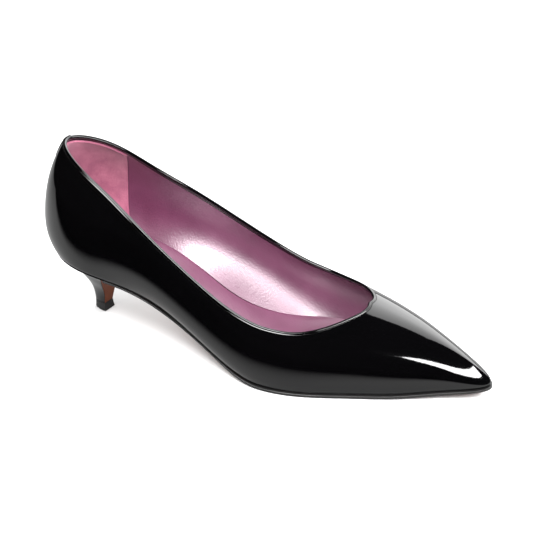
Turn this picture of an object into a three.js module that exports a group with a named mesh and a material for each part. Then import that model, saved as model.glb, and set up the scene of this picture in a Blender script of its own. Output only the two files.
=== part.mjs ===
import * as THREE from "three";

// A right pointed court shoe with a low curved heel.
// Millimetres. The toe points along +X, +Y is the inner (medial) side and +Z is up.
// The origin is the middle of the top piece's face on the floor.

// Main sizes of the last
const LENGTH = 250; // feather edge, back to toe
const BALL_HALF = 41; // half of the widest last width
const INSTEP = 70; // height of the crest line over the feather at the back
const HEEL_RISE = 38.2; // feather edge at the back over the feather edge at the tread
const BACK_LEAN = 11.2; // how far the back seam leans forward at the collar
const LEAN_HEIGHT = 57; // height where the back seam has its full lean
const LEAN_CURVE = 2.6;
const TOE_SLOPE = 12; // how far the toe end of the crest lies behind the toe tip
const TUCK_BACK = 5.6; // how far the counter bulges behind the feather edge
const TUCK_TOE = 0.8;
const TUCK_HEIGHT_OUTER = 23.5; // height over which the outer wall rolls under
const TUCK_HEIGHT_INNER = 30.7;
const JOIN_FROM = 0.62; // shares of the length over which the two collar lines join
const JOIN_TO = 0.76;
const TREAD_SOFTNESS = 1.5; // how gently the bottom line leaves the flat tread

// Material thicknesses and the gap between pieces that meet
const WALL = 1.8;
const FIT = 0.3;
const INSOLE_THICK = 2;
const SOLE_THICK = 2.2;
const WAIST_THICK = 1.5; // the sole is thinner under the arch
const WAIST_START = 6; // height of the feather edge over the tread where the sole is thin
const BREAST_THICK = 0.6;
const BINDING_HEIGHT = 1.8;
const BINDING_PROUD = 0.1; // how far the binding stands out past the upper's wall
const TAB_THICK = 0.6;
const TAB_WIDTH = 6.4;
const TAB_DROP = 10; // how far the back tab reaches below the collar rim
const SOLE_GROW = 0.8; // how far the sole edge shows past the feather edge

// Heel and top piece
const TIP_CENTRE = 28; // middle of the top piece, forward of the back feather point
const TIP_LENGTH = 8.6;
const TIP_WIDTH = 7;
const TIP_HEIGHT = 5;
const TIP_FLARE = 0.5; // how far the top piece spreads toward the floor
const TIP_EDGE = 0.4; // rounding of the top piece's lower edge
const BREAST_AT = 0.17; // share of the length where the heel's front face meets the sole
const TIP_TURN = 9; // degrees that the top piece is turned to the outer side

// Bottom face of the sole rests on the floor here, and the feather edge runs above it
const TREAD = SOLE_THICK + FIT;

// Sections of the last, rows from back to toe. Widths, centre and tucks are shares of BALL_HALF,
// crest and collar heights shares of INSTEP, bottom is a share of HEEL_RISE.
const LAST = [
  { at: 0.0, half: 1.331, centre: 0.003, crest: 1.005, round: 0.33, outerTuck: 0.037, innerTuck: 0.278,
    outerCollar: 0.884, innerCollar: 0.884, bottom: 1.038 },
  { at: 0.08, half: 1.208, centre: 0.027, crest: 0.955, round: 0.33, outerTuck: 0.041, innerTuck: 0.238,
    outerCollar: 0.807, innerCollar: 0.811, bottom: 1.019 },
  { at: 0.18, half: 0.971, centre: 0.041, crest: 0.891, round: 0.34, outerTuck: 0.074, innerTuck: 0.242,
    outerCollar: 0.677, innerCollar: 0.66, bottom: 0.928 },
  { at: 0.3, half: 0.868, centre: 0.029, crest: 0.886, round: 0.34, outerTuck: 0.14, innerTuck: 0.373,
    outerCollar: 0.538, innerCollar: 0.545, bottom: 0.75 },
  { at: 0.42, half: 0.924, centre: 0.025, crest: 0.897, round: 0.33, outerTuck: 0.183, innerTuck: 0.498,
    outerCollar: 0.517, innerCollar: 0.517, bottom: 0.357 },
  { at: 0.54, half: 1.001, centre: 0.039, crest: 0.763, round: 0.34, outerTuck: 0.09, innerTuck: 0.277,
    outerCollar: 0.471, innerCollar: 0.486, bottom: 0.041 },
  { at: 0.64, half: 0.985, centre: 0.1, crest: 0.613, round: 0.35, outerTuck: 0.029, innerTuck: 0.114,
    outerCollar: 0.417, innerCollar: 0.438, bottom: -0.026 },
  { at: 0.74, half: 0.901, centre: 0.178, crest: 0.495, round: 0.35, outerTuck: 0.019, innerTuck: 0.136,
    outerCollar: 0.455, innerCollar: 0.455, bottom: -0.016 },
  { at: 0.84, half: 0.772, centre: 0.21, crest: 0.379, round: 0.36, outerTuck: 0.007, innerTuck: 0.125,
    outerCollar: 0.446, innerCollar: 0.446, bottom: 0.031 },
  { at: 0.93, half: 0.625, centre: 0.195, crest: 0.21, round: 0.36, outerTuck: 0.028, innerTuck: 0.069,
    outerCollar: 0.44, innerCollar: 0.44, bottom: 0.094 },
  { at: 1.0, half: 0.607, centre: 0.173, crest: 0.05, round: 0.36, outerTuck: 0.056, innerTuck: 0.014,
    outerCollar: 0.44, innerCollar: 0.44, bottom: 0.141 },
];

// How the heel spreads from the top piece (at 0) to the seat (at 1), as shares of the way out:
// lengthwise at its back and at its front face, and across
const HEEL_SPREAD = [
  { at: 0.0, back: 0.0, front: 0.0, width: 0.0 },
  { at: 0.2, back: 0.02, front: 0.08, width: 0.06 },
  { at: 0.4, back: 0.14, front: 0.17, width: 0.2 },
  { at: 0.6, back: 0.36, front: 0.31, width: 0.4 },
  { at: 0.8, back: 0.62, front: 0.52, width: 0.61 },
  { at: 0.92, back: 0.83, front: 0.78, width: 0.82 },
  { at: 1.0, back: 1.0, front: 1.0, width: 1.0 },
];

// Grid counts
const COLLAR_LINES = 34;
const VAMP_LINES = 18;
const WALL_ROWS = 13;
const BINDING_POINTS = 8;
const TAB_COLUMNS = 4;
const TAB_ROWS = 7;
const SOLE_LINES = 40;
const BREAST_LINES = 8;
const GROW_LINES = 6; // lines over which the sole edge comes out past the feather edge
const ACROSS = 6;
const HEEL_RIBS = 12;
const HEEL_ROWS = 12;
const WALL_CHECKS = 60; // heights looked at when a plate is fitted inside the wall

const STEP = 1e-4; // small turn used to measure the surface's slope
const END = Math.PI - 1e-3;
const UPWARD = new THREE.Vector3(0, 0, 1);

// Natural cubic curve through the values of one column
function curveThrough(rows, name, scale) {
  const xs = rows.map((row) => row.at);
  const ys = rows.map((row) => row[name] * scale);
  const count = xs.length;
  const bend = new Array(count).fill(0);
  const work = new Array(count).fill(0);
  for (let i = 1; i < count - 1; i += 1) {
    const before = xs[i] - xs[i - 1];
    const after = xs[i + 1] - xs[i];
    const change = (ys[i + 1] - ys[i]) / after - (ys[i] - ys[i - 1]) / before;
    const ratio = before / (before + after);
    const pivot = ratio * bend[i - 1] + 2;
    bend[i] = (ratio - 1) / pivot;
    work[i] = ((6 * change) / (before + after) - ratio * work[i - 1]) / pivot;
  }
  bend[count - 1] = 0;
  for (let i = count - 2; i > 0; i -= 1) {
    bend[i] = bend[i] * bend[i + 1] + work[i];
  }
  bend[0] = 0;
  return (x) => {
    const at = Math.min(Math.max(x, xs[0]), xs[count - 1]);
    let i = 0;
    while (i < count - 2 && at > xs[i + 1]) {
      i += 1;
    }
    const width = xs[i + 1] - xs[i];
    const far = (at - xs[i]) / width;
    const near = 1 - far;
    const sag = ((near ** 3 - near) * bend[i] + (far ** 3 - far) * bend[i + 1]) * (width * width / 6);
    return near * ys[i] + far * ys[i + 1] + sag;
  };
}

const halfWidth = curveThrough(LAST, "half", BALL_HALF);
const centreLine = curveThrough(LAST, "centre", BALL_HALF);
const crestHeight = curveThrough(LAST, "crest", INSTEP);
const roundness = curveThrough(LAST, "round", 1);
const outerTuck = curveThrough(LAST, "outerTuck", BALL_HALF);
const innerTuck = curveThrough(LAST, "innerTuck", BALL_HALF);
const outerCollar = curveThrough(LAST, "outerCollar", INSTEP);
const innerCollar = curveThrough(LAST, "innerCollar", INSTEP);
const bottomRise = curveThrough(LAST, "bottom", HEEL_RISE);
const heelBack = curveThrough(HEEL_SPREAD, "back", 1);
const heelFront = curveThrough(HEEL_SPREAD, "front", 1);
const heelWidth = curveThrough(HEEL_SPREAD, "width", 1);

// Height of the feather edge over the floor, flat along the tread
function featherHeight(x) {
  const rise = Math.max(bottomRise((x + TIP_CENTRE) / LENGTH), 0);
  return TREAD + (rise * rise) / (rise + TREAD_SOFTNESS);
}

// A turn goes round the last in plan: 0 at the back seam, PI at the toe, negative on the outer side
function shareOfTurn(turn) {
  return (1 - Math.cos(turn)) / 2;
}

function turnOfShare(share) {
  return Math.acos(1 - 2 * share);
}

// Point of the last's surface. A lift of 0 is the feather edge and PI / 2 the crest line.
function lastPoint(turn, lift) {
  const share = shareOfTurn(turn);
  const inner = turn > 0;
  const level = Math.abs(Math.sin(lift)) ** (2 * roundness(share));
  const height = level * crestHeight(share);
  const tuckHeight = inner ? TUCK_HEIGHT_INNER : TUCK_HEIGHT_OUTER;
  const low = Math.max(1 - height / tuckHeight, 0) ** 3;
  const lowEnds = Math.max(1 - height / TUCK_HEIGHT_OUTER, 0) ** 3;
  const back = TUCK_BACK * lowEnds + BACK_LEAN * (height / LEAN_HEIGHT) ** LEAN_CURVE;
  const front = LENGTH - TOE_SLOPE * (1 - Math.cos(lift)) - TUCK_TOE * lowEnds;
  const x = back + (front - back) * share;
  const tuck = inner ? innerTuck(share) : outerTuck(share);
  const y = centreLine(share) + Math.sin(turn) * Math.cos(lift) * (halfWidth(share) - tuck * low);
  const z = featherHeight(x - TIP_CENTRE) + level * crestHeight(Math.min(x / LENGTH, 1));
  return new THREE.Vector3(x - TIP_CENTRE, y, z);
}

// Outward direction of the last's surface
function lastNormal(turn, lift) {
  const safeTurn = Math.max(Math.min(turn, END), -END);
  const safeLift = Math.min(lift, Math.PI / 2 - (Math.PI - END));
  const lower = Math.max(safeLift - STEP, 0);
  const along = lastPoint(safeTurn + STEP, safeLift).sub(lastPoint(safeTurn - STEP, safeLift));
  const up = lastPoint(safeTurn, lower + 2 * STEP).sub(lastPoint(safeTurn, lower));
  return up.cross(along).normalize();
}

// Surface point moved outward, or inward when the distance is negative
function offsetPoint(turn, lift, outward) {
  return lastPoint(turn, lift).addScaledVector(lastNormal(turn, lift), outward);
}

// Collar height, where the inner side joins the outer side's line before the throat
function collarHeight(share, inner) {
  const joined = THREE.MathUtils.smoothstep(share, JOIN_FROM, JOIN_TO);
  const own = inner ? innerCollar(share) : outerCollar(share);
  return own + (outerCollar(share) - own) * joined;
}

// Lift of the upper's rim, or the crest in front of the throat
function rimLift(turn) {
  const share = shareOfTurn(turn);
  const collar = collarHeight(share, turn > 0);
  const level = Math.min(collar / crestHeight(share), 1);
  return Math.asin(Math.min(level ** (1 / (2 * roundness(share))), 1));
}

// Share of the length where the rim reaches the crest line
function throatShare() {
  let low = LAST[5].at;
  let high = LAST[8].at;
  for (let i = 0; i < 40; i += 1) {
    const middle = (low + high) / 2;
    if (outerCollar(middle) < crestHeight(middle)) {
      low = middle;
    } else {
      high = middle;
    }
  }
  return low;
}

const THROAT_TURN = turnOfShare(throatShare());

// Turns of the grid lines, close together at the throat and at both ends
function gridTurns() {
  const turns = [];
  for (let i = 0; i < COLLAR_LINES; i += 1) {
    const share = throatShare() * shareOfTurn((Math.PI * i) / COLLAR_LINES);
    turns.push(turnOfShare(share));
  }
  for (let i = 0; i <= VAMP_LINES; i += 1) {
    turns.push(THROAT_TURN + (Math.PI - THROAT_TURN) * (i / VAMP_LINES) ** 1.2);
  }
  return turns;
}

// A closed body put together from four-sided faces
class Body {
  constructor() {
    this.points = [];
    this.known = new Map();
    this.triangles = [];
  }

  vertex(point) {
    const key = [point.x, point.y, point.z].map((v) => Math.round(v * 1000)).join(",");
    if (!this.known.has(key)) {
      this.known.set(key, this.points.length);
      this.points.push(point);
    }
    return this.known.get(key);
  }

  triangle(a, b, c) {
    if (a !== b && b !== c && c !== a) {
      this.triangles.push(a, b, c);
    }
  }

  // Corners in order, seen from outside
  face(a, b, c, d) {
    const [i, j, k, m] = [a, b, c, d].map((point) => this.vertex(point));
    if (a.distanceTo(c) <= b.distanceTo(d)) {
      this.triangle(i, j, k);
      this.triangle(i, k, m);
    } else {
      this.triangle(i, j, m);
      this.triangle(j, k, m);
    }
  }

  // A grid of points [line][row], turned over where flip is true
  grid(lines, flip) {
    for (let i = 0; i + 1 < lines.length; i += 1) {
      for (let j = 0; j + 1 < lines[i].length; j += 1) {
        const corners = [lines[i][j], lines[i + 1][j], lines[i + 1][j + 1], lines[i][j + 1]];
        if (flip) {
          corners.reverse();
        }
        this.face(...corners);
      }
    }
  }

  mesh(name, material) {
    const geometry = new THREE.BufferGeometry();
    const flat = this.points.flatMap((point) => [point.x, point.y, point.z]);
    geometry.setAttribute("position", new THREE.Float32BufferAttribute(flat, 3));
    geometry.setIndex(this.triangles);
    geometry.computeVertexNormals();
    const mesh = new THREE.Mesh(geometry, material);
    mesh.name = name;
    return mesh;
  }
}

function range(count) {
  return Array.from({ length: count }, (_, i) => i);
}

function blend(a, b, share) {
  return a.clone().lerp(b, share);
}

// Straight row of points from one side to the other
function rowAcross(from, to) {
  return range(ACROSS + 1).map((i) => blend(from, to, i / ACROSS));
}

function patent() {
  return new THREE.MeshStandardMaterial({ color: 0x0b0b0c, roughness: 0.12, metalness: 0 });
}

function leather(color) {
  return new THREE.MeshStandardMaterial({ color, roughness: 0.6, metalness: 0 });
}

// One-piece upper: a hollow wall round the last, open at the collar and underneath
function makeUpper() {
  const body = new Body();
  const turns = gridTurns();
  for (const side of [-1, 1]) {
    const wallLines = (outward) => turns.map((turn, i) => {
      const top = i < COLLAR_LINES ? rimLift(side * turn) : Math.PI / 2;
      return range(WALL_ROWS + 1).map((row) => {
        const lift = top * (row / WALL_ROWS) ** 1.5;
        const shared = i === 0 || i === turns.length - 1 || (row === WALL_ROWS && i >= COLLAR_LINES);
        const point = offsetPoint(shared ? turn : side * turn, lift, outward);
        if (shared) {
          point.y = centreLine(shareOfTurn(turn));
        }
        return point;
      });
    });
    const outside = wallLines(0);
    const inside = wallLines(-WALL);
    const inner = side > 0;
    body.grid(outside, inner);
    body.grid(inside, !inner);
    body.grid(outside.map((line, i) => [inside[i][0], line[0]]), inner);
    const rim = outside.slice(0, COLLAR_LINES + 1);
    body.grid(rim.map((line, i) => [line[WALL_ROWS], inside[i][WALL_ROWS]]), inner);
  }
  return body.mesh("upper", patent());
}

// Rim of the upper as a closed loop, with the directions out of the wall and up past the rim
function rimLoop() {
  const share = throatShare();
  const turns = range(2 * COLLAR_LINES).map((i) => {
    const half = COLLAR_LINES - i;
    const turn = turnOfShare(share * shareOfTurn((Math.PI * half) / COLLAR_LINES));
    return half > 0 ? -turn : turn;
  });
  const frames = turns.map((turn, i) => {
    const lift = i === 0 ? Math.PI / 2 : rimLift(turn);
    return { point: lastPoint(turn, lift), normal: lastNormal(turn, lift) };
  });
  frames.forEach((frame, i) => {
    const next = frames[(i + 1) % frames.length].point;
    const last = frames[(i + frames.length - 1) % frames.length].point;
    const along = next.clone().sub(last).normalize();
    frame.up = along.cross(frame.normal).normalize();
  });
  return frames;
}

// Rolled binding that caps the rim
function makeBinding() {
  const body = new Body();
  const halfAcross = WALL / 2 + BINDING_PROUD;
  const lines = rimLoop().map(({ point, normal, up }) => {
    const middle = point.clone().addScaledVector(normal, -WALL / 2);
    middle.addScaledVector(up, FIT + BINDING_HEIGHT / 2);
    return range(BINDING_POINTS + 1).map((i) => {
      const angle = (2 * Math.PI * (i + 0.5)) / BINDING_POINTS;
      const across = Math.sign(Math.cos(angle)) * Math.abs(Math.cos(angle)) ** 0.6 * halfAcross;
      const high = Math.sign(Math.sin(angle)) * Math.abs(Math.sin(angle)) ** 0.6 * (BINDING_HEIGHT / 2);
      return middle.clone().addScaledVector(normal, across).addScaledVector(up, high);
    });
  });
  body.grid([...lines, lines[0]], true);
  return body.mesh("topline_binding", patent());
}

// Strip over the back seam, from under the collar to the top of the binding
function makeBackTab() {
  const body = new Body();
  const seamTop = rimLift(0);
  const rim = lastPoint(0, seamTop);
  const seamUp = rimLoop()[COLLAR_LINES].up;
  const lowest = range(200).map((i) => seamTop * (1 - i / 200))
    .find((lift) => rim.distanceTo(lastPoint(0, lift)) > TAB_DROP);
  const gap = BINDING_PROUD + FIT;
  const stripLines = (outward) => range(TAB_COLUMNS + 1).map((column) => {
    const sideways = TAB_WIDTH * (column / TAB_COLUMNS - 0.5);
    const pointAt = (lift) => {
      const halfHere = halfWidth(0) * Math.cos(lift);
      return offsetPoint(Math.asin(sideways / halfHere), lift, outward);
    };
    const line = range(TAB_ROWS + 1).map((row) => pointAt(lowest + (seamTop - lowest) * (row / TAB_ROWS)));
    const top = line[TAB_ROWS].clone().addScaledVector(seamUp, FIT + BINDING_HEIGHT);
    return [...line, top];
  });
  const near = stripLines(gap);
  const far = stripLines(gap + TAB_THICK);
  const lastRow = near[0].length - 1;
  body.grid(far, true);
  body.grid(near, false);
  body.grid(near.map((line, i) => [line[0], far[i][0]]), true);
  body.grid(near.map((line, i) => [far[i][lastRow], line[lastRow]]), true);
  body.grid([near[0], far[0]], true);
  body.grid([far[TAB_COLUMNS], near[TAB_COLUMNS]], true);
  return body.mesh("back_tab", patent());
}

// Level direction out of the feather edge, straight back or forward at its two ends
function featherOut(turn) {
  if (Math.abs(Math.sin(turn)) < STEP) {
    return new THREE.Vector3(-Math.cos(turn), 0, 0);
  }
  const along = lastPoint(turn + STEP, 0).sub(lastPoint(turn - STEP, 0));
  return new THREE.Vector3(-along.y, along.x, 0).normalize();
}

// Feather edge point moved sideways in plan, out past the edge or in from it
function featherPoint(turn, outward) {
  return lastPoint(turn, 0).addScaledVector(featherOut(turn), outward);
}

// How far a plate must stay inside the feather edge to clear the wall up to its own top
function wallInset(turn, heightOver) {
  const edge = lastPoint(turn, 0);
  const out = featherOut(turn);
  const normal = lastNormal(turn, STEP);
  let inset = WALL * Math.hypot(normal.x, normal.y) + FIT;
  for (let i = 0; i <= WALL_CHECKS; i += 1) {
    const inside = offsetPoint(turn, (Math.PI / 2) * (i / WALL_CHECKS) ** 1.5, -WALL - FIT);
    if (inside.z - edge.z > heightOver) {
      break;
    }
    inset = Math.max(inset, edge.clone().sub(inside).dot(out));
  }
  return inset;
}

// Closed plate from a top grid and a bottom grid, lines from back to toe
function platesBody(top, bottom) {
  const body = new Body();
  const last = top.length - 1;
  body.grid(top, false);
  body.grid(bottom, true);
  body.grid(top.map((line, i) => [bottom[i][0], line[0]]), false);
  body.grid(top.map((line, i) => [line[ACROSS], bottom[i][ACROSS]]), false);
  body.grid([top[0], bottom[0]], true);
  body.grid([top[last], bottom[last]], false);
  return body;
}

// Rows of a plate that follows the feather edge at a height over it
function plateLines(turns, outwardAt, heightOver) {
  return turns.map((turn) => {
    const outer = featherPoint(-turn, outwardAt(-turn));
    const inner = featherPoint(turn, outwardAt(turn));
    return rowAcross(outer, inner).map((point) => {
      const height = featherHeight(point.x) + heightOver;
      return new THREE.Vector3(point.x, point.y, height);
    });
  });
}

// Insole board with its sock, inside the upper's wall
function makeInsole() {
  const turns = range(SOLE_LINES + 1).map((i) => (Math.PI * i) / SOLE_LINES);
  const inset = (turn) => {
    const clear = (side) => wallInset(side * turn, 2 * FIT + INSOLE_THICK);
    const atEnd = Math.abs(Math.sin(turn)) < STEP;
    return atEnd ? -Math.max(clear(1), clear(-1)) : -clear(1);
  };
  const top = plateLines(turns, inset, FIT + INSOLE_THICK);
  const bottom = plateLines(turns, inset, FIT);
  const sock = new THREE.MeshStandardMaterial({ color: 0xc978a8, roughness: 0.35, metalness: 0.4 });
  return platesBody(top, bottom).mesh("insole", sock);
}

// D-shaped foot of the heel: share 0 is the back, share 1 the front corner, on one side
function tipPoint(share, side, grow, cutBack) {
  const angle = (Math.PI / 2) * share;
  const x = -TIP_LENGTH / 2 - grow + (TIP_LENGTH + 2 * grow - cutBack) * (1 - Math.cos(angle));
  const y = side * (TIP_WIDTH / 2 + grow) * Math.sin(angle) ** 0.8;
  return new THREE.Vector3(x, y, 0).applyAxisAngle(UPWARD, -THREE.MathUtils.degToRad(TIP_TURN));
}

const BREAST_TURN = turnOfShare(BREAST_AT);

// Point of the heel's skin: share goes round one side, climb goes from the top piece to the seat
function heelPoint(share, side, climb) {
  const foot = tipPoint(share, side, 0, FIT + BREAST_THICK);
  foot.z = TIP_HEIGHT + FIT;
  const seat = featherPoint(side * share * BREAST_TURN, 0);
  seat.z = featherHeight(seat.x) - FIT;
  const along = heelBack(climb) + (heelFront(climb) - heelBack(climb)) * share ** 2;
  return new THREE.Vector3(
    foot.x + (seat.x - foot.x) * along,
    foot.y + (seat.y - foot.y) * heelWidth(climb),
    foot.z + (seat.z - foot.z) * climb,
  );
}

// Heel block, solid, with its curved back and flat front face
function makeHeel() {
  const body = new Body();
  const ribs = (side) => range(HEEL_RIBS + 1).map((rib) => {
    return range(HEEL_ROWS + 1).map((row) => heelPoint(rib / HEEL_RIBS, side, row / HEEL_ROWS));
  });
  const outer = ribs(-1);
  const inner = ribs(1);
  body.grid(outer, false);
  body.grid(inner, true);
  const acrossAt = (row) => outer.map((line, i) => rowAcross(line[row], inner[i][row]));
  const seat = acrossAt(HEEL_ROWS).map((line) => line.map((point) => {
    return new THREE.Vector3(point.x, point.y, featherHeight(point.x) - FIT);
  }));
  body.grid(seat, false);
  body.grid(acrossAt(0), true);
  const front = range(HEEL_ROWS + 1).map((row) => {
    return row === HEEL_ROWS ? seat[HEEL_RIBS] : rowAcross(outer[HEEL_RIBS][row], inner[HEEL_RIBS][row]);
  });
  body.grid(front, true);
  return body.mesh("heel", patent());
}

// Thickness of the sole, thin under the arch and full at the tread
function soleThickness(x) {
  const share = THREE.MathUtils.smoothstep(featherHeight(x) - TREAD, 0, WAIST_START);
  return SOLE_THICK + (WAIST_THICK - SOLE_THICK) * share;
}

// Outsole: down the heel's front face, round the corner and forward to the toe
function makeOutsole() {
  const breast = range(BREAST_LINES).map((i) => {
    const climb = i / BREAST_LINES;
    const outer = heelPoint(1, -1, climb);
    const inner = heelPoint(1, 1, climb);
    return { outer, inner };
  });
  const move = (point, x, z) => new THREE.Vector3(point.x + x, point.y, point.z + z);
  const behind = breast.map(({ outer, inner }) => rowAcross(move(outer, FIT, 0), move(inner, FIT, 0)));
  const ahead = breast.map(({ outer, inner }) => {
    return rowAcross(move(outer, FIT + BREAST_THICK, 0), move(inner, FIT + BREAST_THICK, 0));
  });
  const sides = range(SOLE_LINES + 1).map((i) => {
    const turn = BREAST_TURN + (Math.PI - BREAST_TURN) * (i / SOLE_LINES);
    const grow = SOLE_GROW * Math.min(i / GROW_LINES, 1);
    return [featherPoint(-turn, grow), featherPoint(turn, grow)];
  });
  const forward = sides.map(([outer, inner]) => rowAcross(outer, inner));
  forward[0].forEach((point) => {
    point.x += FIT;
  });
  const sheetAt = (extra, depthAt) => forward.map((line, i) => line.map((point) => {
    const x = point.x + (i === 0 ? extra : 0);
    return new THREE.Vector3(x, point.y, featherHeight(x) - FIT - depthAt(x));
  }));
  const top = [...behind, ...sheetAt(0, () => 0)];
  const bottom = [...ahead, ...sheetAt(BREAST_THICK, soleThickness)];
  return platesBody(top, bottom).mesh("outsole", leather(0x4a2414));
}

// Top piece: the small hard block that touches the floor
function makeTopPiece() {
  const levels = [
    { z: 0, grow: TIP_FLARE - TIP_EDGE },
    { z: TIP_EDGE, grow: TIP_FLARE },
    { z: TIP_HEIGHT, grow: 0 },
  ];
  const body = new Body();
  const ring = (side, level) => range(HEEL_RIBS + 1).map((rib) => {
    const point = tipPoint(rib / HEEL_RIBS, side, level.grow, 0);
    point.z = level.z;
    return point;
  });
  const columns = (side) => {
    const rings = levels.map((level) => ring(side, level));
    return range(HEEL_RIBS + 1).map((rib) => rings.map((points) => points[rib]));
  };
  const outer = columns(-1);
  const inner = columns(1);
  body.grid(outer, false);
  body.grid(inner, true);
  const acrossAt = (row) => outer.map((line, i) => rowAcross(line[row], inner[i][row]));
  body.grid(acrossAt(levels.length - 1), false);
  body.grid(acrossAt(0), true);
  body.grid(levels.map((_, row) => rowAcross(outer[HEEL_RIBS][row], inner[HEEL_RIBS][row])), true);
  const rubber = new THREE.MeshStandardMaterial({ color: 0x111111, roughness: 0.55, metalness: 0 });
  return body.mesh("top_piece", rubber);
}

const shoe = new THREE.Group();
shoe.name = "court_shoe";
shoe.add(makeUpper(), makeBinding(), makeBackTab(), makeInsole());
shoe.add(makeOutsole(), makeHeel(), makeTopPiece());

export default shoe;
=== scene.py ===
import functools
import math

import bmesh
import bpy
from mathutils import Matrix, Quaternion, Vector


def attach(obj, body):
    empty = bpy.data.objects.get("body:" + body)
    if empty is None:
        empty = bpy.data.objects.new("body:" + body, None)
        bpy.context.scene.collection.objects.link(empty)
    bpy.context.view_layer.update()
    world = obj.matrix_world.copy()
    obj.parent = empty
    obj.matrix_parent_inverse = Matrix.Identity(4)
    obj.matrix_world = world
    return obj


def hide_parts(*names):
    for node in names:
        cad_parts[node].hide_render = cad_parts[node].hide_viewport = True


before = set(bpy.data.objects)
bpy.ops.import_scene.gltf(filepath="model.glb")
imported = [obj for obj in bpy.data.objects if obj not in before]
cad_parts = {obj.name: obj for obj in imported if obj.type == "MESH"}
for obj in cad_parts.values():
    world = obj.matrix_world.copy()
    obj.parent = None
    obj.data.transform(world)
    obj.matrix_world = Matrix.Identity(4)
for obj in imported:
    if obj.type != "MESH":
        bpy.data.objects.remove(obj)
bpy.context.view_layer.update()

# A right pointed court shoe in black patent, with a metallic lining and a low curved heel.
# Shapes are worked out in millimetres, in the part's own sizes, and put in place in metres.
MM = 0.001
MERGE = 0.00002

# Main sizes of the last
LENGTH = 250
BALL_HALF = 41
INSTEP = 70
HEEL_RISE = 38.2
BACK_LEAN = 11.2
LEAN_HEIGHT = 57
LEAN_CURVE = 2.6
TOE_SLOPE = 12
TUCK_BACK = 5.6
TUCK_TOE = 0.8
TUCK_HEIGHT_OUTER = 23.5
TUCK_HEIGHT_INNER = 30.7
JOIN_FROM = 0.62
JOIN_TO = 0.76
TREAD_SOFTNESS = 1.5

# Material thicknesses and the gap between pieces that meet
WALL = 1.8
FIT = 0.3
PATENT_THICK = 0.9
LINING_FROM = 1.0
INSOLE_THICK = 2
SOLE_THICK = 2.2
WAIST_THICK = 1.5
WAIST_START = 6
BREAST_THICK = 0.6
BINDING_HEIGHT = 1.8
BINDING_PROUD = 0.1
BINDING_FOOT = 1.25
BINDING_GROOVE = 0.14
FOLD_AT = 0.25
FOLD_WIDTH = 0.2
INNER_FOLD = 1.5
TAB_THICK = 0.45
TAB_WIDTH = 6.4
TAB_DROP = 10
SOLE_GROW = 0.8
SOLE_FACE_INSET = 0.9
SOLE_FACE_THICK = 0.35
SOLE_FACE_PROUD = 0.25
SOLE_FACE_FROM = 0.01
SOLE_FACE_TOE = 8
WELT_BLEND = 0.35
BREAST_GAP_ENDS = 20
FEATHER_ROLL = 0.45
FEATHER_ROLL_HEIGHT = 1.6
STRIP_EDGE = 0.6
STRIP_EDGE_SHARE = 0.35
GRIP_FROM = 1.9
GRIP_THICK = 0.7
GRIP_SHARE = 0.124
GRIP_TOP = 0.97
GRIP_LOW = 0.012
GRIP_EDGE_SHARE = 0.3
GRIP_ENDS = 60

# Heel and top piece
TIP_CENTRE = 28
TIP_LENGTH = 8.6
TIP_WIDTH = 7
TIP_HEIGHT = 5
TIP_FLARE = 0.5
TIP_PROFILE = [(0, 0.2), (0.024, 0.76), (0.08, 1), (0.5, 0.4), (0.95, 0.1), (1, -0.24)]
BREAST_AT = 0.17
TIP_TURN = 9
HEEL_FORWARD = 0.75
BREAST_FACE = 0.93
BREAST_TOP = 0.985
TREAD = SOLE_THICK + FIT

# How round the corners of a section are, from 0 for a square to 1 for a circle
BINDING_ROUND = 0.8
STRIP_ROUND = 0.35
SOCK_ROUND = 0.25
SOLE_ROUND = 0.3

# Sections of the last from back to toe, in the shares that the part uses
LAST_COLUMNS = ("at", "half", "centre", "crest", "round", "outer_tuck", "inner_tuck",
                "outer_collar", "inner_collar", "bottom")
LAST = [
    (0.0, 1.331, 0.003, 1.005, 0.33, 0.037, 0.278, 0.884, 0.884, 1.038),
    (0.08, 1.208, 0.027, 0.955, 0.33, 0.041, 0.238, 0.807, 0.811, 1.019),
    (0.18, 0.971, 0.041, 0.891, 0.34, 0.074, 0.242, 0.677, 0.66, 0.928),
    (0.3, 0.868, 0.029, 0.886, 0.34, 0.14, 0.373, 0.538, 0.545, 0.75),
    (0.42, 0.924, 0.025, 0.897, 0.33, 0.183, 0.498, 0.517, 0.517, 0.357),
    (0.54, 1.001, 0.039, 0.763, 0.34, 0.09, 0.277, 0.471, 0.486, 0.041),
    (0.64, 0.985, 0.1, 0.613, 0.35, 0.029, 0.114, 0.417, 0.438, -0.026),
    (0.74, 0.901, 0.178, 0.495, 0.35, 0.019, 0.136, 0.455, 0.455, -0.016),
    (0.84, 0.772, 0.21, 0.379, 0.36, 0.007, 0.125, 0.446, 0.446, 0.031),
    (0.93, 0.625, 0.195, 0.21, 0.36, 0.028, 0.069, 0.44, 0.44, 0.094),
    (1.0, 0.607, 0.173, 0.05, 0.36, 0.056, 0.014, 0.44, 0.44, 0.141),
]
LAST_SCALES = {
    "half": BALL_HALF, "centre": BALL_HALF, "crest": INSTEP, "round": 1,
    "outer_tuck": BALL_HALF, "inner_tuck": BALL_HALF,
    "outer_collar": INSTEP, "inner_collar": INSTEP, "bottom": HEEL_RISE,
}
HEEL_COLUMNS = ("at", "back", "front", "width")
HEEL_SPREAD = [
    (0.0, 0.0, 0.0, 0.0),
    (0.2, 0.02, 0.08, 0.06),
    (0.4, 0.14, 0.17, 0.2),
    (0.6, 0.36, 0.31, 0.4),
    (0.8, 0.62, 0.52, 0.61),
    (0.92, 0.83, 0.78, 0.82),
    (1.0, 1.0, 1.0, 1.0),
]

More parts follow.
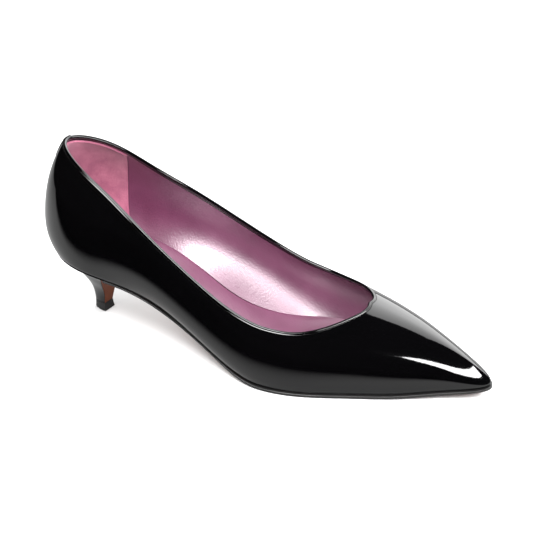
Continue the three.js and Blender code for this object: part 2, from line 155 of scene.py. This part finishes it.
# Steps of the working, and how close together grid lines come at the feather edge and at the throat
STEP = 1e-4
NEAR = 1e-6
END = math.pi - 1e-3
HALVINGS = 40
INSET_STEPS = 40
COLLAR_PART = 0.66
THROAT_BETWEEN = (0.54, 0.84)
FEATHER_CROWDING = 1.5
THROAT_CROWDING = 1.2
GRIP_CROWDING = 1.4
SHARP_ANGLE = 38

# Camera where the photographer stood, turned to put the one shoe in the middle
CAMERA_AT = (297.41, -426.26, 321.03)
CAMERA_TARGET = (80.6, 47.15, 20.0)
CAMERA_ROLL = -0.318
CAMERA_LENS = 71.5
SENSOR = 36
STUDIO_MIDDLE = (100, 0, 20)

# Floor in metres, and the slanted line beside the shoe past which the floor's colour is painted black for
# reflections only, a painted dark reflection in the patent
FLOOR_LENGTH = 2.4
FLOOR_DEPTH = 1.9
FLOOR_MIDDLE = 0.1
FLOOR_FRONT = -0.6
DIM_REFLECTION_SLANT = 0.143
DIM_REFLECTION_FAR = -0.105
DIM_REFLECTION_NEAR = -0.06
REFLECTED_FLOOR_SHARE = 0.4
AMBIENT = 1.3
DARK_STUDIO = 0.01

# Softboxes: name, azimuth and elevation, distance, width, height, power and spread
SOFTBOXES = [
    ("side softbox", 84, 40, 1.0, 1.1, 0.17, 17, 180),
    ("high softbox", 2, 60, 1.0, 0.6, 0.4, 18, 180),
    ("back softbox", 173, 30, 1.3, 1.1, 1.44, 9, 110),
]

# Colours from dark to light
PATENT_BLACK = ((0.0004, 0.0004, 0.0005), (0.0009, 0.0008, 0.001))
LINING_PINK = ((0.105, 0.015, 0.055), (0.14, 0.022, 0.075))
SUEDE_PINK = ((0.22, 0.05, 0.10), (0.42, 0.13, 0.20))
SOLE_BROWN = ((0.085, 0.02, 0.006), (0.14, 0.034, 0.01))
INK_BLACK = ((0.004, 0.004, 0.004), (0.012, 0.011, 0.011))
RUBBER_BLACK = ((0.006, 0.006, 0.006), (0.014, 0.014, 0.014))
FLOOR_GREY = ((0.66, 0.66, 0.66), (0.67, 0.67, 0.67))


def curve_through(columns, rows, name, scale):
    """Natural cubic curve through the values of one column."""
    place = columns.index(name)
    xs = [row[0] for row in rows]
    ys = [row[place] * scale for row in rows]
    count = len(xs)
    bend = [0.0] * count
    work = [0.0] * count
    for i in range(1, count - 1):
        before = xs[i] - xs[i - 1]
        after = xs[i + 1] - xs[i]
        change = (ys[i + 1] - ys[i]) / after - (ys[i] - ys[i - 1]) / before
        ratio = before / (before + after)
        pivot = ratio * bend[i - 1] + 2
        bend[i] = (ratio - 1) / pivot
        work[i] = (6 * change / (before + after) - ratio * work[i - 1]) / pivot
    bend[count - 1] = 0.0
    for i in range(count - 2, 0, -1):
        bend[i] = bend[i] * bend[i + 1] + work[i]
    bend[0] = 0.0

    def value(x):
        at = min(max(x, xs[0]), xs[-1])
        i = 0
        while i < count - 2 and at > xs[i + 1]:
            i += 1
        width = xs[i + 1] - xs[i]
        far = (at - xs[i]) / width
        near = 1 - far
        sag = ((near ** 3 - near) * bend[i] + (far ** 3 - far) * bend[i + 1]) * width * width / 6
        return near * ys[i] + far * ys[i + 1] + sag

    return functools.lru_cache(maxsize=None)(value)


CURVES = {name: curve_through(LAST_COLUMNS, LAST, name, scale) for name, scale in LAST_SCALES.items()}
heel_back = curve_through(HEEL_COLUMNS, HEEL_SPREAD, "back", 1)
heel_front = curve_through(HEEL_COLUMNS, HEEL_SPREAD, "front", 1)
heel_width = curve_through(HEEL_COLUMNS, HEEL_SPREAD, "width", 1)


def feather_height(x):
    """Height of the feather edge over the floor, flat along the tread."""
    rise = max(CURVES["bottom"]((x + TIP_CENTRE) / LENGTH), 0)
    return TREAD + rise * rise / (rise + TREAD_SOFTNESS)


def share_of_turn(turn):
    return (1 - math.cos(turn)) / 2


def turn_of_share(share):
    return math.acos(1 - 2 * share)


def last_point(turn, lift):
    """Point of the last's surface: a turn goes round in plan, a lift goes up to the crest line."""
    share = share_of_turn(turn)
    inner = turn > 0
    level = abs(math.sin(lift)) ** (2 * CURVES["round"](share))
    height = level * CURVES["crest"](share)
    tuck_height = TUCK_HEIGHT_INNER if inner else TUCK_HEIGHT_OUTER
    low = max(1 - height / tuck_height, 0) ** 3
    low_ends = max(1 - height / TUCK_HEIGHT_OUTER, 0) ** 3
    back = TUCK_BACK * low_ends + BACK_LEAN * (height / LEAN_HEIGHT) ** LEAN_CURVE
    front = LENGTH - TOE_SLOPE * (1 - math.cos(lift)) - TUCK_TOE * low_ends
    x = back + (front - back) * share
    tuck = CURVES["inner_tuck" if inner else "outer_tuck"](share)
    half = CURVES["half"](share) - tuck * low
    y = CURVES["centre"](share) + math.sin(turn) * math.cos(lift) * half
    z = feather_height(x - TIP_CENTRE) + level * CURVES["crest"](min(x / LENGTH, 1))
    return Vector((x - TIP_CENTRE, y, z))


def last_normal(turn, lift):
    """Outward direction of the last's surface."""
    safe_turn = max(min(turn, END), -END)
    safe_lift = min(lift, math.pi / 2 - (math.pi - END))
    lower = max(safe_lift - STEP, 0)
    along = last_point(safe_turn + STEP, safe_lift) - last_point(safe_turn - STEP, safe_lift)
    up = last_point(safe_turn, lower + 2 * STEP) - last_point(safe_turn, lower)
    return up.cross(along).normalized()


def offset_point(turn, lift, outward):
    return last_point(turn, lift) + last_normal(turn, lift) * outward


def smooth_step(value, low, high):
    share = min(max((value - low) / (high - low), 0), 1)
    return share * share * (3 - 2 * share)


def collar_height(share, inner):
    """Collar height, where the inner side joins the outer side's line before the throat."""
    outer = CURVES["outer_collar"](share)
    own = CURVES["inner_collar"](share) if inner else outer
    return own + (outer - own) * smooth_step(share, JOIN_FROM, JOIN_TO)


def rim_lift(turn):
    """Lift of the upper's rim."""
    share = share_of_turn(turn)
    collar = collar_height(share, turn > 0)
    level = min(collar / CURVES["crest"](share), 1)
    return math.asin(min(level ** (1 / (2 * CURVES["round"](share))), 1))


def find_throat():
    """Share of the length where the rim reaches the crest line."""
    low, high = THROAT_BETWEEN
    for _ in range(HALVINGS):
        middle = (low + high) / 2
        if CURVES["outer_collar"](middle) < CURVES["crest"](middle):
            low = middle
        else:
            high = middle
    return low


THROAT = find_throat()
THROAT_TURN = turn_of_share(THROAT)
GRIP_TURN = turn_of_share(GRIP_SHARE)
BREAST_TURN = turn_of_share(BREAST_AT)


def line_turn(part):
    """Turn of a grid line: a part of 0 is the back seam and 1 the toe, close together at the throat."""
    if part < COLLAR_PART:
        return turn_of_share(THROAT * share_of_turn(math.pi * part / COLLAR_PART))
    past = (part - COLLAR_PART) / (1 - COLLAR_PART)
    return THROAT_TURN + (math.pi - THROAT_TURN) * past ** THROAT_CROWDING


# Making pieces

def grid_piece(name, columns, rows, place, drop=None):
    """Closed piece from a flat grid whose points move to place(across, along), shares from 0 to 1.
    Faces whose middle is in drop are left out, edges that meet are merged and holes are filled."""
    mesh = bmesh.new()
    bmesh.ops.create_grid(mesh, x_segments=columns, y_segments=rows, size=0.5)
    if drop:
        dropped = [face for face in mesh.faces if drop(face.calc_center_median() + Vector((0.5, 0.5, 0)))]
        bmesh.ops.delete(mesh, geom=dropped, context="FACES_ONLY")
    for vertex in mesh.verts:
        vertex.co = place(vertex.co.x + 0.5, vertex.co.y + 0.5) * MM
    bmesh.ops.remove_doubles(mesh, verts=mesh.verts, dist=MERGE)
    bmesh.ops.dissolve_degenerate(mesh, edges=mesh.edges, dist=MERGE)
    open_edges = [edge for edge in mesh.edges if edge.is_boundary]
    if open_edges:
        bmesh.ops.holes_fill(mesh, edges=open_edges, sides=0)
    return finish_piece(name, mesh)


def finish_piece(name, mesh):
    bmesh.ops.recalc_face_normals(mesh, faces=mesh.faces)
    for face in mesh.faces:
        face.smooth = True
    data = bpy.data.meshes.new(name)
    mesh.to_mesh(data)
    mesh.free()
    data.set_sharp_from_angle(angle=math.radians(SHARP_ANGLE))
    piece = bpy.data.objects.new(name, data)
    bpy.context.collection.objects.link(piece)
    return piece


def wall_piece(name, columns, rows, outer_depth, inner_depth, roll=0.0):
    """Layer of the upper all round the last, between two depths under its surface."""
    inner_rows = rows // 2
    total = rows + 1 + inner_rows + 1

    def place(across, along):
        part = 1 - abs(2 * across - 1)
        side = -1 if across < 0.5 else 1
        turn = line_turn(part)
        collar = part < COLLAR_PART - NEAR
        top = rim_lift(side * turn) if collar else math.pi / 2
        row = round(along * total)
        on_outside = row <= rows or row == total
        if on_outside:
            level = (row % total) / rows
            depth = outer_depth
        else:
            level = (rows + 1 + inner_rows - row) / inner_rows
            depth = inner_depth
        lift = top * level ** FEATHER_CROWDING
        shared = part < NEAR or part > 1 - NEAR or (level > 1 - NEAR and not collar)
        used = turn if shared else side * turn
        point = offset_point(used, lift, -depth)
        if on_outside and roll:
            height = point.z - last_point(used, 0).z
            low = max(1 - height / FEATHER_ROLL_HEIGHT, 0)
            point -= last_normal(used, max(lift, 0.05)) * roll * low * low
        if shared:
            point.y = CURVES["centre"](share_of_turn(turn))
        return point

    def ridge(middle):
        part = 1 - abs(2 * middle.x - 1)
        row = middle.y * total
        return part > COLLAR_PART and rows < row < rows + 1

    return grid_piece(name, columns, total, place, ridge)


def rounded(angle, roundness):
    """Point of a rounded square of half size 1, going round once in an angle of 2 pi."""
    across = math.copysign(abs(math.cos(angle)) ** roundness, math.cos(angle))
    high = math.copysign(abs(math.sin(angle)) ** roundness, math.sin(angle))
    return across, high


# Pieces of the shoe

def make_upper():
    piece = wall_piece("patent_upper", columns=480, rows=52, outer_depth=0, inner_depth=PATENT_THICK,
                       roll=FEATHER_ROLL)
    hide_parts("upper")
    return piece


def make_lining():
    return wall_piece("metallic_lining", columns=400, rows=40, outer_depth=LINING_FROM, inner_depth=WALL)


def rim_frame(around):
    """Point of the rim with its directions out of the wall and up past the rim."""
    def spot(share_round):
        half = 1 - 2 * (share_round % 1)
        turn = turn_of_share(THROAT * share_of_turn(math.pi * abs(half)))
        turn = -turn if half > 0 else turn
        lift = math.pi / 2 if abs(half) > 1 - NEAR else rim_lift(turn)
        return turn, lift

    turn, lift = spot(around)
    near = 0.002
    point = last_point(turn, lift)
    normal = last_normal(turn, lift)
    along = last_point(*spot(around + near)) - last_point(*spot(around - near))
    return point, normal, along.normalized().cross(normal).normalized()


def make_binding():
    """Rolled binding over the rim, with the fold line low on its outer face."""
    half_across = WALL / 2 + BINDING_PROUD
    half_high = (FIT + BINDING_HEIGHT) / 2
    frames = functools.lru_cache(maxsize=None)(rim_frame)

    def place(across, along):
        point, normal, up = frames(round(along % 1, 6))
        out, high = rounded(2 * math.pi * across, BINDING_ROUND)
        if high < 0:
            out = math.copysign(min(abs(out) * BINDING_FOOT, 1), out)
        fold = math.exp(-((high + FOLD_AT) / FOLD_WIDTH) ** 2)
        out *= 1 - BINDING_GROOVE * fold
        turned_in = INNER_FOLD * max(-out, 0) * max(-high, 0)
        middle = point - normal * (WALL / 2) + up * (half_high - turned_in)
        return middle + normal * out * half_across + up * high * half_high

    piece = grid_piece("rolled_binding", columns=40, rows=480, place=place)
    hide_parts("topline_binding")
    return piece


def make_back_strip():
    """Narrow strip over the back seam, from under the collar to the top of the binding."""
    seam_top = rim_lift(0)
    rim = last_point(0, seam_top)
    seam_up = rim_frame(0.5)[2]
    lowest = seam_top
    while (rim - last_point(0, lowest)).length < TAB_DROP:
        lowest -= seam_top / 200

    def place(across, along):
        out, high = rounded(2 * math.pi * across, STRIP_ROUND)
        edge = min(along, 1 - along) * (TAB_DROP + BINDING_HEIGHT)
        thin = min(1, STRIP_EDGE_SHARE + edge / STRIP_EDGE)
        climb = along * (TAB_DROP + BINDING_HEIGHT)
        share = min(climb / TAB_DROP, 1)
        lift = lowest + (seam_top - lowest) * share
        sideways = out * TAB_WIDTH / 2
        turn = math.asin(sideways / (CURVES["half"](0) * math.cos(lift)))
        depth = BINDING_PROUD + TAB_THICK * (0.5 + 0.5 * high * thin)
        return offset_point(turn, lift, depth) + seam_up * max(climb - TAB_DROP, 0)

    piece = grid_piece("back_strip", columns=48, rows=40, place=place)
    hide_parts("back_tab")
    return piece


def feather_out(turn):
    if abs(math.sin(turn)) < STEP:
        return Vector((-math.cos(turn), 0, 0))
    along = last_point(turn + STEP, 0) - last_point(turn - STEP, 0)
    return Vector((-along.y, along.x, 0)).normalized()


def feather_point(turn, outward):
    return last_point(turn, 0) + feather_out(turn) * outward


@functools.lru_cache(maxsize=None)
def wall_inset(turn, height_over):
    """How far a plate stays inside the feather edge to clear the wall up to its own top."""
    edge = last_point(turn, 0)
    out = feather_out(turn)
    normal = last_normal(turn, STEP)
    inset = WALL * math.hypot(normal.x, normal.y) + FIT
    for i in range(INSET_STEPS + 1):
        lift = math.pi / 2 * (i / INSET_STEPS) ** FEATHER_CROWDING
        inside = offset_point(turn, lift, -WALL - FIT)
        if inside.z - edge.z > height_over:
            break
        inset = max(inset, (edge - inside).dot(out))
    return inset


def plate_point(across, along, first_turn, edge_at, low_at, thick_at, roundness):
    """Point of a plate that follows the feather edge, closed round its section."""
    turn = first_turn + (math.pi - first_turn) * along
    outer = feather_point(-turn, edge_at(-turn))
    inner = feather_point(turn, edge_at(turn))
    out, high = rounded(2 * math.pi * across, roundness)
    flat = outer.lerp(inner, 0.5 + 0.5 * out)
    level = 0.5 + 0.5 * high
    return Vector((flat.x, flat.y, feather_height(flat.x) + low_at(flat.x) + thick_at(flat.x) * level))


def make_sock():
    """Insole with its sock, which the foot stands on."""
    clear = 2 * FIT + INSOLE_THICK

    def inset(turn):
        if abs(math.sin(turn)) < STEP:
            return -max(wall_inset(turn, clear), wall_inset(-turn, clear))
        return -wall_inset(turn, clear)

    def place(across, along):
        return plate_point(across, along, 0, inset, lambda x: FIT, lambda x: INSOLE_THICK, SOCK_ROUND)

    piece = grid_piece("sock", columns=120, rows=240, place=place)
    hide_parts("insole")
    return piece


def sole_thickness(x):
    share = smooth_step(feather_height(x) - TREAD, 0, WAIST_START)
    return SOLE_THICK + (WAIST_THICK - SOLE_THICK) * share


def tip_point(share, side, grow, cut_back):
    """D-shaped foot of the heel: share 0 is the back, share 1 the front corner, on one side."""
    angle = math.pi / 2 * share
    x = -TIP_LENGTH / 2 - grow + (TIP_LENGTH + 2 * grow - cut_back) * (1 - math.cos(angle))
    y = side * (TIP_WIDTH / 2 + grow) * math.sin(angle) ** 0.8
    turned = math.radians(-TIP_TURN)
    cosine, sine = math.cos(turned), math.sin(turned)
    return Vector((x * cosine - y * sine, x * sine + y * cosine, 0))


def heel_point(share, side, climb):
    """Point of the heel's skin: share goes round one side, climb from the top piece to the seat."""
    foot = tip_point(share, side, 0, FIT + BREAST_THICK)
    foot.z = TIP_HEIGHT + FIT
    seat = feather_point(side * share * BREAST_TURN, 0)
    seat.z = feather_height(seat.x) - FIT
    along = heel_back(climb) + (heel_front(climb) - heel_back(climb)) * share ** 2
    return Vector((
        foot.x + (seat.x - foot.x) * along,
        foot.y + (seat.y - foot.y) * heel_width(climb),
        foot.z + (seat.z - foot.z) * climb,
    ))


def make_sole():
    """Leather sole with its black edge, from the heel's front face to the toe."""
    def grow(turn):
        return SOLE_GROW * smooth_step(abs(turn), BREAST_TURN, BREAST_TURN + WELT_BLEND)

    def place(across, along):
        point = plate_point(across, along, BREAST_TURN, grow, lambda x: -FIT - sole_thickness(x),
                            sole_thickness, SOLE_ROUND)
        point.x += FIT * max(1 - along * BREAST_GAP_ENDS, 0)
        return point

    piece = grid_piece("leather_sole", columns=96, rows=200, place=place)
    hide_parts("outsole")
    return piece


def make_sole_face():
    """Brown leather face under the sole, inside the black edge."""
    def inset(turn):
        return -SOLE_FACE_INSET * min(1, (math.pi - abs(turn)) * SOLE_FACE_TOE)

    def place(across, along):
        return plate_point(across, along, BREAST_TURN + SOLE_FACE_FROM, inset,
                           lambda x: -FIT - sole_thickness(x) - SOLE_FACE_THICK * SOLE_FACE_PROUD,
                           lambda x: SOLE_FACE_THICK, SOLE_ROUND)

    return grid_piece("sole_face", columns=64, rows=160, place=place)


def make_breast():
    """Brown leather turned down the heel's front face, between the folds of the heel's cover."""
    def place(across, along):
        out, high = rounded(2 * math.pi * across, SOLE_ROUND)
        outer = heel_point(1, -1, along * BREAST_TOP)
        inner = heel_point(1, 1, along * BREAST_TOP)
        point = outer.lerp(inner, 0.5 + 0.5 * out * BREAST_FACE)
        point.x += BREAST_THICK * (0.5 + 0.5 * high) + HEEL_FORWARD - BREAST_THICK / 2
        return point

    return grid_piece("breast_cover", columns=64, rows=60, place=place)


def make_heel():
    """Covered heel block, with its curved back and flat front face."""
    def place(across, along):
        go = across * 3
        if go <= 2:
            side = -1 if go < 1 else 1
            share = 1 - go if go < 1 else go - 1
            point = heel_point(share, side, along)
            point.x += HEEL_FORWARD * share ** 3
            return point
        point = heel_point(1, 1, along).lerp(heel_point(1, -1, along), go - 2)
        point.x += HEEL_FORWARD
        return point

    piece = grid_piece("covered_heel", columns=144, rows=80, place=place)
    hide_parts("heel")
    return piece


def make_top_piece():
    """Small hard block that touches the floor."""
    last = len(TIP_PROFILE) - 1

    def place(across, along):
        climb, spread = TIP_PROFILE[round(along * last)]
        grow = TIP_FLARE * spread
        go = across * 3
        if go <= 2:
            side = -1 if go < 1 else 1
            share = 1 - go if go < 1 else go - 1
            point = tip_point(share, side, grow, 0)
        else:
            point = tip_point(1, 1, grow, 0).lerp(tip_point(1, -1, grow, 0), go - 2)
        point.z = TIP_HEIGHT * climb
        return point

    piece = grid_piece("heel_top_piece", columns=96, rows=last, place=place)
    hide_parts("top_piece")
    return piece


def make_heel_grip():
    """Suede patch inside the back of the upper, over the lining."""
    def place(across, along):
        turn = GRIP_TURN * (2 * along - 1)
        go = across * 2
        inward = go > 1
        level = go if go <= 1 else 2 - go
        end = min(along, 1 - along) * GRIP_ENDS
        thick = GRIP_THICK * min(1, GRIP_EDGE_SHARE + end)
        depth = GRIP_FROM + (thick if inward else 0)
        top = rim_lift(turn) * GRIP_TOP
        lift = GRIP_LOW + (top - GRIP_LOW) * level ** GRIP_CROWDING
        return offset_point(turn, lift, -depth)

    return grid_piece("heel_grip", columns=120, rows=90, place=place)


# Node helpers

def group(name, inputs, outputs):
    """Empty node group with its named inputs and outputs; returns the tree and its two end nodes."""
    tree = bpy.data.node_groups.new(name, "ShaderNodeTree")
    for label, value in inputs:
        socket = tree.interface.new_socket(label, in_out="INPUT", socket_type="NodeSocketFloat")
        socket.default_value = value
    for label in outputs:
        tree.interface.new_socket(label, in_out="OUTPUT", socket_type="NodeSocketFloat")
    return tree, tree.nodes.new("NodeGroupInput"), tree.nodes.new("NodeGroupOutput")


def join(tree, source, target):
    tree.links.new(source, target)


def calculate(tree, operation, first, second):
    """Math node; each value is a number or a socket."""
    node = tree.nodes.new("ShaderNodeMath")
    node.operation = operation
    for socket, value in zip(node.inputs, (first, second)):
        if isinstance(value, (int, float)):
            socket.default_value = value
        else:
            join(tree, value, socket)
    return node.outputs[0]


def noise(tree, coordinates, scale, detail=2.0, roughness=0.5, stretch=None):
    """Noise value at a scale per metre."""
    node = tree.nodes.new("ShaderNodeTexNoise")
    node.inputs["Detail"].default_value = detail
    node.inputs["Roughness"].default_value = roughness
    if isinstance(scale, (int, float)):
        node.inputs["Scale"].default_value = scale
    else:
        join(tree, scale, node.inputs["Scale"])
    if stretch:
        mapping = tree.nodes.new("ShaderNodeMapping")
        mapping.inputs["Scale"].default_value = stretch
        join(tree, coordinates, mapping.inputs["Vector"])
        coordinates = mapping.outputs[0]
    join(tree, coordinates, node.inputs["Vector"])
    return node.outputs[0]


def object_coordinates(tree):
    return tree.nodes.new("ShaderNodeTexCoord").outputs["Object"]


def make_grain_group():
    """Fine leather grain: pebbles and pores."""
    tree, ends_in, ends_out = group("leather grain", [("Scale", 900.0), ("Pores", 0.5)], ["Height", "Mask"])
    where = object_coordinates(tree)
    cells = tree.nodes.new("ShaderNodeTexVoronoi")
    cells.feature = "SMOOTH_F1"
    join(tree, where, cells.inputs["Vector"])
    join(tree, ends_in.outputs["Scale"], cells.inputs["Scale"])
    fine = noise(tree, where, calculate(tree, "MULTIPLY", ends_in.outputs["Scale"], 2.5), 3.0)
    pores = calculate(tree, "MULTIPLY", fine, ends_in.outputs["Pores"])
    join(tree, calculate(tree, "ADD", cells.outputs["Distance"], pores), ends_out.inputs["Height"])
    join(tree, noise(tree, where, 60.0, 3.0), ends_out.inputs["Mask"])
    return tree


def make_handling_group():
    """Faint handling marks that change the roughness of a smooth surface."""
    tree, ends_in, ends_out = group("handling", [("Base", 0.05), ("Amount", 0.05)], ["Roughness", "Height"])
    where = object_coordinates(tree)
    broad = noise(tree, where, 35.0, 4.0)
    marks = calculate(tree, "MULTIPLY", broad, ends_in.outputs["Amount"])
    join(tree, calculate(tree, "ADD", ends_in.outputs["Base"], marks), ends_out.inputs["Roughness"])
    join(tree, noise(tree, where, 260.0, 2.0), ends_out.inputs["Height"])
    return tree


GRAIN = make_grain_group()
HANDLING = make_handling_group()


def place_group(tree, source, **values):
    node = tree.nodes.new("ShaderNodeGroup")
    node.node_tree = source
    for label, value in values.items():
        node.inputs[label].default_value = value
    return node


def new_material(name):
    """Material with its tree and its Principled shader."""
    material = bpy.data.materials.new(name)
    material.use_nodes = True
    tree = material.node_tree
    return material, tree, tree.nodes["Principled BSDF"]


def two_colours(tree, mask, colours, low=0.0, high=1.0):
    """Colour that goes from the dark to the light one as the mask goes from low to high."""
    dark, light = colours
    ramp = tree.nodes.new("ShaderNodeValToRGB")
    ramp.color_ramp.elements[0].position = low
    ramp.color_ramp.elements[0].color = (*dark, 1)
    ramp.color_ramp.elements[1].position = high
    ramp.color_ramp.elements[1].color = (*light, 1)
    join(tree, mask, ramp.inputs[0])
    return ramp.outputs[0]


def add_bump(tree, shader, height, strength, distance):
    bump = tree.nodes.new("ShaderNodeBump")
    bump.inputs["Strength"].default_value = strength
    bump.inputs["Distance"].default_value = distance
    join(tree, height, bump.inputs["Height"])
    join(tree, bump.outputs[0], shader.inputs["Normal"])


def make_patent():
    material, tree, shader = new_material("black patent")
    marks = place_group(tree, HANDLING, Base=0.03, Amount=0.04)
    join(tree, marks.outputs["Roughness"], shader.inputs["Roughness"])
    tint = noise(tree, object_coordinates(tree), 25.0)
    join(tree, two_colours(tree, tint, PATENT_BLACK), shader.inputs["Base Color"])
    shader.inputs["IOR"].default_value = 1.5
    add_bump(tree, shader, marks.outputs["Height"], 0.25, 0.00006)
    return material


def make_lining_leather():
    material, tree, shader = new_material("metallic lining")
    grain = place_group(tree, GRAIN, Scale=1100.0, Pores=0.6)
    colour = two_colours(tree, grain.outputs["Mask"], LINING_PINK, 0.3, 0.7)
    join(tree, colour, shader.inputs["Base Color"])
    shader.inputs["Metallic"].default_value = 0.2
    shader.inputs["IOR"].default_value = 2.7
    rough = calculate(tree, "MULTIPLY", grain.outputs["Mask"], 0.16)
    join(tree, calculate(tree, "ADD", rough, 0.33), shader.inputs["Roughness"])
    add_bump(tree, shader, grain.outputs["Height"], 0.5, 0.00012)
    return material


def make_suede():
    material, tree, shader = new_material("pink suede")
    where = object_coordinates(tree)
    nap = noise(tree, where, 1800.0, 4.0, 0.7)
    brushed = noise(tree, where, 120.0, 3.0)
    mask = calculate(tree, "MULTIPLY", nap, brushed)
    join(tree, two_colours(tree, mask, SUEDE_PINK, 0.1, 0.45), shader.inputs["Base Color"])
    shader.inputs["Roughness"].default_value = 0.95
    shader.inputs["Sheen Weight"].default_value = 0.25
    add_bump(tree, shader, nap, 0.6, 0.0002)
    return material


def make_brown_leather():
    material, tree, shader = new_material("brown sole leather")
    grain = place_group(tree, GRAIN, Scale=1400.0, Pores=0.8)
    colour = two_colours(tree, grain.outputs["Mask"], SOLE_BROWN, 0.3, 0.7)
    join(tree, colour, shader.inputs["Base Color"])
    shader.inputs["Roughness"].default_value = 0.5
    shader.inputs["Specular IOR Level"].default_value = 0.25
    add_bump(tree, shader, grain.outputs["Height"], 0.3, 0.00008)
    return material


def make_edge_ink():
    material, tree, shader = new_material("black edge ink")
    marks = place_group(tree, HANDLING, Base=0.22, Amount=0.2)
    join(tree, marks.outputs["Roughness"], shader.inputs["Roughness"])
    tint = noise(tree, object_coordinates(tree), 90.0)
    join(tree, two_colours(tree, tint, INK_BLACK), shader.inputs["Base Color"])
    add_bump(tree, shader, marks.outputs["Height"], 0.3, 0.00008)
    return material


def make_rubber():
    material, tree, shader = new_material("heel rubber")
    grain = place_group(tree, GRAIN, Scale=2500.0, Pores=0.9)
    colour = two_colours(tree, grain.outputs["Mask"], RUBBER_BLACK)
    join(tree, colour, shader.inputs["Base Color"])
    shader.inputs["Roughness"].default_value = 0.45
    add_bump(tree, shader, grain.outputs["Height"], 0.2, 0.00006)
    return material


def dress(piece, material):
    piece.data.materials.append(material)
    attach(piece, "root")


def make_shoe():
    patent = make_patent()
    lining = make_lining_leather()
    brown = make_brown_leather()
    dress(make_upper(), patent)
    dress(make_binding(), patent)
    dress(make_back_strip(), patent)
    dress(make_heel(), patent)
    dress(make_lining(), lining)
    dress(make_sock(), lining)
    dress(make_heel_grip(), make_suede())
    dress(make_sole(), make_edge_ink())
    dress(make_sole_face(), brown)
    dress(make_breast(), brown)
    dress(make_top_piece(), make_rubber())


# Camera, floor and light

def make_camera():
    data = bpy.data.cameras.new("camera")
    data.lens = CAMERA_LENS
    data.sensor_width = SENSOR
    camera = bpy.data.objects.new("camera", data)
    camera.location = Vector(CAMERA_AT) * MM
    look = (Vector(CAMERA_TARGET) - Vector(CAMERA_AT)).to_track_quat("-Z", "Y")
    camera.rotation_mode = "QUATERNION"
    camera.rotation_quaternion = look @ Quaternion((0, 0, 1), math.radians(CAMERA_ROLL))
    bpy.context.collection.objects.link(camera)
    bpy.context.scene.camera = camera


def make_floor():
    """Pale floor whose colour, for reflections only, is painted black past a slanted line beside the shoe
    and dimmed near it: a painted reflection.
    """
    mesh = bmesh.new()
    bmesh.ops.create_grid(mesh, x_segments=2, y_segments=2, size=0.5)
    for vertex in mesh.verts:
        across = vertex.co.x * FLOOR_LENGTH + FLOOR_MIDDLE
        vertex.co = Vector((across, (vertex.co.y + 0.5) * FLOOR_DEPTH + FLOOR_FRONT, 0))
    floor = finish_piece("studio_floor", mesh)
    material, tree, shader = new_material("pale floor")
    where = object_coordinates(tree)
    colour = two_colours(tree, noise(tree, where, 8.0), FLOOR_GREY)
    # Painted reflection: for glossy rays only, the floor's colour is painted black past the slanted line
    # beside the shoe and dimmed to a share of itself near the shoe; camera and diffuse rays see it
    # unchanged.
    parts = tree.nodes.new("ShaderNodeSeparateXYZ")
    join(tree, where, parts.inputs[0])
    slant = calculate(tree, "MULTIPLY", parts.outputs["X"], DIM_REFLECTION_SLANT)
    reach = tree.nodes.new("ShaderNodeMapRange")
    reach.interpolation_type = "SMOOTHSTEP"
    reach.inputs["From Min"].default_value = DIM_REFLECTION_FAR
    reach.inputs["From Max"].default_value = DIM_REFLECTION_NEAR
    join(tree, calculate(tree, "SUBTRACT", parts.outputs["Y"], slant), reach.inputs["Value"])
    painted_reflection_shade = calculate(tree, "SUBTRACT", 1.0, calculate(tree, "MULTIPLY", reach.outputs[0], REFLECTED_FLOOR_SHARE))
    rays = tree.nodes.new("ShaderNodeLightPath")
    shade_in_reflections = calculate(tree, "MULTIPLY", rays.outputs["Is Glossy Ray"], painted_reflection_shade)
    scaled = tree.nodes.new("ShaderNodeVectorMath")
    scaled.operation = "SCALE"
    join(tree, colour, scaled.inputs[0])
    join(tree, calculate(tree, "SUBTRACT", 1.0, shade_in_reflections), scaled.inputs["Scale"])
    join(tree, scaled.outputs[0], shader.inputs["Base Color"])
    shader.inputs["Roughness"].default_value = 0.9
    shader.inputs["Specular IOR Level"].default_value = 0.0
    floor.data.materials.append(material)


def softbox(name, azimuth, elevation, distance, width, height, power, spread):
    """Area light that faces the shoe. An azimuth of 0 is the outer side and 90 the toe."""
    data = bpy.data.lights.new(name, "AREA")
    data.shape = "RECTANGLE"
    data.size = width
    data.size_y = height
    data.energy = power
    data.spread = math.radians(spread)
    light = bpy.data.objects.new(name, data)
    turn, rise = math.radians(azimuth), math.radians(elevation)
    direction = Vector((math.sin(turn) * math.cos(rise), -math.cos(turn) * math.cos(rise), math.sin(rise)))
    light.location = Vector(STUDIO_MIDDLE) * MM + direction * distance
    light.rotation_mode = "QUATERNION"
    light.rotation_quaternion = direction.to_track_quat("Z", "Y")
    bpy.context.collection.objects.link(light)


def make_lights():
    for row in SOFTBOXES:
        softbox(*row)


def make_world():
    """Pale surroundings for the camera and dim ones for reflections, as in a dark studio."""
    world = bpy.data.worlds.new("studio")
    bpy.context.scene.world = world
    world.use_nodes = True
    tree = world.node_tree
    background = tree.nodes["Background"]
    rays = tree.nodes.new("ShaderNodeLightPath")
    diffuse = calculate(tree, "MULTIPLY", rays.outputs["Is Diffuse Ray"], AMBIENT)
    seen = calculate(tree, "MAXIMUM", rays.outputs["Is Camera Ray"], diffuse)
    join(tree, calculate(tree, "ADD", seen, DARK_STUDIO), background.inputs["Strength"])
    background.inputs["Color"].default_value = (1, 1, 1, 1)


def set_view():
    view = bpy.context.scene.view_settings
    view.view_transform = "Standard"
    view.look = "None"
    view.exposure = 0
    view.gamma = 1


make_camera()
make_floor()
make_lights()
make_world()
set_view()
make_shoe()
